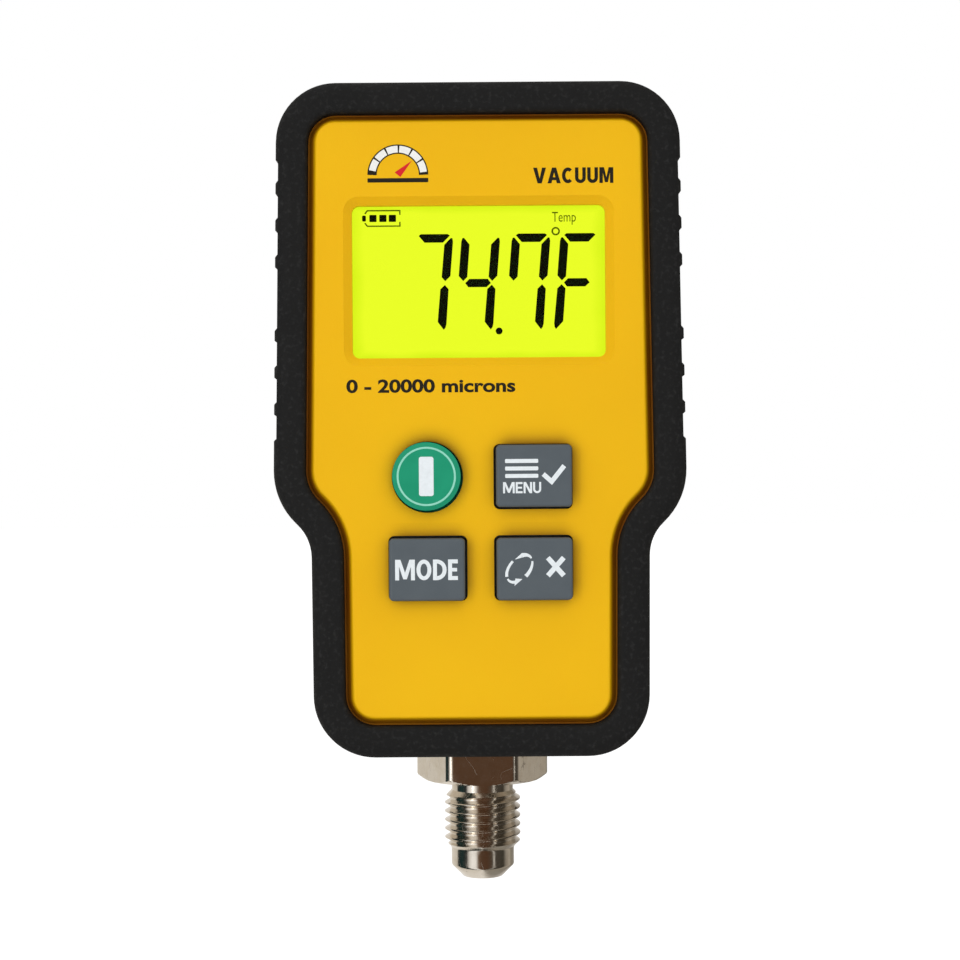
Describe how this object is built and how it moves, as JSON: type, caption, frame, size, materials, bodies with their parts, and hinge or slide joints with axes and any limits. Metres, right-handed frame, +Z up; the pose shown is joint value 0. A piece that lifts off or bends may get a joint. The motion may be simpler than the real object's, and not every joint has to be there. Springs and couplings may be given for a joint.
{
  "type": "digital vacuum gauge",
  "caption": "Handheld digital vacuum gauge: rubber-booted case with a lit display and push keys, on a male flare port at its foot.",
  "frame": {"origin": "centre of the mouth of the port, on the axis of the flare fitting", "axes": "+Z up along the fitting into the case, +X to the right of the display, the face looks along -Y"},
  "size_m": [0.058, 0.0332, 0.1141],
  "materials": {
    "boot_rubber": "fine moulded texture, matt",
    "shell_plastic": "satin moulded ABS",
    "screw_steel": "zinc plated",
    "clear_lens": "clear acrylic, polished",
    "display_glass": "backlit liquid crystal glass",
    "white_plastic": "white moulded",
    "silicone": "translucent grey",
    "board_laminate": "solder resist",
    "chip_plastic": "moulded package",
    "capacitor_ceramic": "ceramic with tinned ends",
    "green_key": "satin moulded",
    "grey_key": "satin moulded",
    "carbon": "conductive rubber",
    "cell_can": "plain sleeve",
    "contact_nickel": "nickel plated",
    "plated_brass": "turned brass, bright nickel plate",
    "seal_rubber": "moulded"
  },
  "bodies": {
    "housing": {"backlight_guide": "white_plastic", "backlight_lamps": "white_plastic", "battery_cell_left": "cell_can", "battery_cell_right": "cell_can", "battery_contact_bridge": "contact_nickel", "battery_contact_negative": "contact_nickel", "battery_contact_positive": "contact_nickel", "battery_door": "shell_plastic", "battery_door_screw": "screw_steel", "board_screws": "screw_steel", "boot": "boot_rubber", "chip_capacitors": "capacitor_ceramic", "crystal": "contact_nickel", "display_lens": "clear_lens", "flare_fitting": "plated_brass", "front_shell": "shell_plastic", "housing_screws": "screw_steel", "keypad_mat": "silicone", "lcd_frame": "white_plastic", "lcd_panel": "display_glass", "main_board": "board_laminate", "microcontroller": "chip_plastic", "rear_shell": "shell_plastic", "sensor_board": "board_laminate", "sensor_header": "chip_plastic", "sensor_retainer": "plated_brass", "sensor_seal": "seal_rubber", "vacuum_sensor": "contact_nickel", "voltage_regulator": "chip_plastic", "zebra_strip_bottom": "silicone", "zebra_strip_top": "silicone"},
    "power_button": {"key_power": "green_key", "contact_pill_power": "carbon"},
    "menu_button": {"key_menu": "grey_key", "contact_pill_menu": "carbon"},
    "mode_button": {"key_mode": "grey_key", "contact_pill_mode": "carbon"},
    "scroll_button": {"key_scroll": "grey_key", "contact_pill_scroll": "carbon"}
  },
  "joints": [
    {"name": "power_press", "type": "slide", "parent": "housing", "child": "power_button", "axis": [0, 1, 0], "range_m": [0, 0.001], "stiffness_N_per_m": 1200},
    {"name": "menu_press", "type": "slide", "parent": "housing", "child": "menu_button", "axis": [0, 1, 0], "range_m": [0, 0.001], "stiffness_N_per_m": 1200},
    {"name": "mode_press", "type": "slide", "parent": "housing", "child": "mode_button", "axis": [0, 1, 0], "range_m": [0, 0.001], "stiffness_N_per_m": 1200},
    {"name": "scroll_press", "type": "slide", "parent": "housing", "child": "scroll_button", "axis": [0, 1, 0], "range_m": [0, 0.001], "stiffness_N_per_m": 1200}
  ]
}
